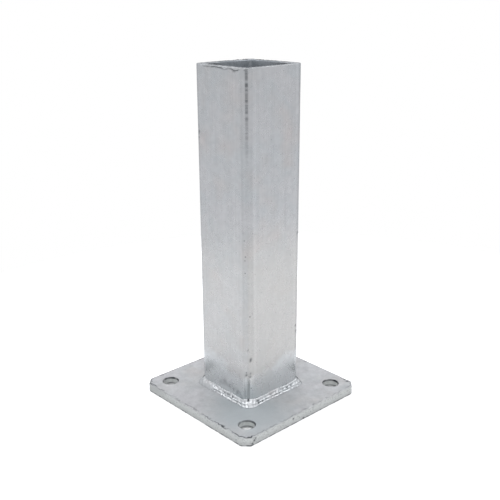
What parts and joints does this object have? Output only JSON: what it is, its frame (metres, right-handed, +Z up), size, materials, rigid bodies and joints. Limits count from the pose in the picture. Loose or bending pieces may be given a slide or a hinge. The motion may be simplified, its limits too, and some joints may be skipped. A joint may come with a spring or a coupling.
{
  "type": "bolt-down square tube post base",
  "caption": "Galvanised steel post base: a square tube stub, open at the top, welded all round to a square base plate that is bolted down.",
  "frame": {"origin": "centre of the base plate's underside, where the part meets the concrete", "axes": "+Z up along the tube; +X and +Y square to the plate's sides and the tube's walls; front is -Y, left is -X"},
  "size_m": [0.13, 0.13, 0.278],
  "materials": {
    "galvanised_plate": "hot-dip galvanised, satin",
    "galvanised_tube": "hot-dip galvanised, satin",
    "galvanised_weld": "hot-dip galvanised over a weld bead, bright and uneven"
  },
  "bodies": {
    "root": {"base_plate": "galvanised_plate", "post_tube": "galvanised_tube", "weld_front": "galvanised_weld", "weld_right": "galvanised_weld", "weld_back": "galvanised_weld", "weld_left": "galvanised_weld"}
  },
  "joints": []
}
